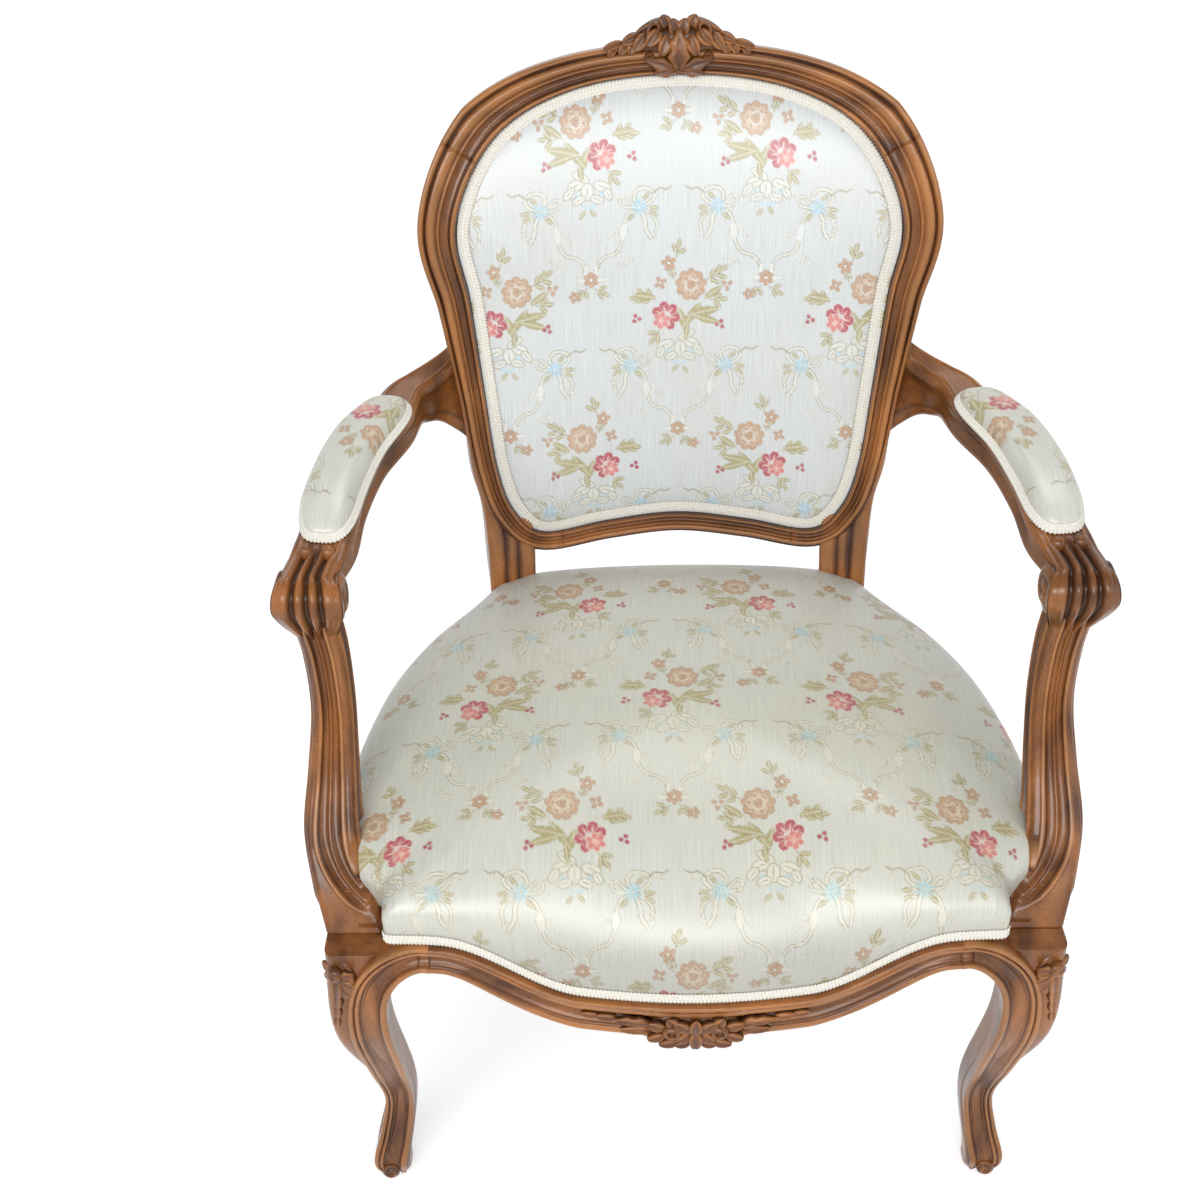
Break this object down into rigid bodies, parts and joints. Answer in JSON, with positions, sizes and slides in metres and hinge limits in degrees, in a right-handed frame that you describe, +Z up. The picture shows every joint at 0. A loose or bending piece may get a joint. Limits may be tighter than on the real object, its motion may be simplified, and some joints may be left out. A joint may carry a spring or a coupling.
{
  "type": "bergere armchair",
  "caption": "Upholstered armchair with a carved and moulded wooden frame, scrolled open arms with padded rests, cabriole front legs, a sprung seat and a leaning, round-topped padded back.",
  "frame": {"origin": "on the floor under the middle of the chair's bounding box", "axes": "+Z up, the chair faces -Y, +X to the right of someone looking at its front"},
  "size_m": [0.6746, 0.6268, 0.9386],
  "materials": {
    "walnut": "satin polish",
    "brocade": "woven satin with a floral pattern",
    "gimp": "braided",
    "stuffing": "matt",
    "hessian": "matt",
    "webbing": "matt",
    "lining": "matt",
    "steel": "plain"
  },
  "bodies": {
    "root": {"arm_dowel_left": "walnut", "arm_dowel_right": "walnut", "arm_left": "walnut", "arm_pad_cover_left": "brocade", "arm_pad_cover_right": "brocade", "arm_pad_gimp_left": "gimp", "arm_pad_gimp_right": "gimp", "arm_pad_stuffing_left": "stuffing", "arm_pad_stuffing_right": "stuffing", "arm_post_left": "walnut", "arm_post_right": "walnut", "arm_right": "walnut", "back_bottom_rail": "walnut", "back_cover": "brocade", "back_cover_rear": "brocade", "back_gimp": "gimp", "back_gimp_rear": "gimp", "back_hessian": "hessian", "back_stuffing": "stuffing", "corner_block_front_left": "walnut", "corner_block_front_right": "walnut", "corner_block_rear_left": "walnut", "corner_block_rear_right": "walnut", "corner_screw_front_left": "steel", "corner_screw_front_right": "steel", "corner_screw_rear_left": "steel", "corner_screw_rear_right": "steel", "crest_rail": "walnut", "front_leg_left": "walnut", "front_leg_right": "walnut", "front_seat_rail": "walnut", "hand_dowel_left": "walnut", "hand_dowel_right": "walnut", "post_dowel_left": "walnut", "post_dowel_right": "walnut", "rear_seat_rail": "walnut", "rear_upright_left": "walnut", "rear_upright_right": "walnut", "seat_cover": "brocade", "seat_dust_cover": "lining", "seat_gimp_front": "gimp", "seat_gimp_left": "gimp", "seat_gimp_rear": "gimp", "seat_gimp_right": "gimp", "seat_hessian": "hessian", "seat_spring_1": "steel", "seat_spring_2": "steel", "seat_spring_3": "steel", "seat_spring_4": "steel", "seat_spring_5": "steel", "seat_stuffing": "stuffing", "side_seat_rail_left": "walnut", "side_seat_rail_right": "walnut", "webbing_crosswise_1": "webbing", "webbing_crosswise_2": "webbing", "webbing_crosswise_3": "webbing", "webbing_lengthwise_1": "webbing", "webbing_lengthwise_2": "webbing", "webbing_lengthwise_3": "webbing"}
  },
  "joints": []
}
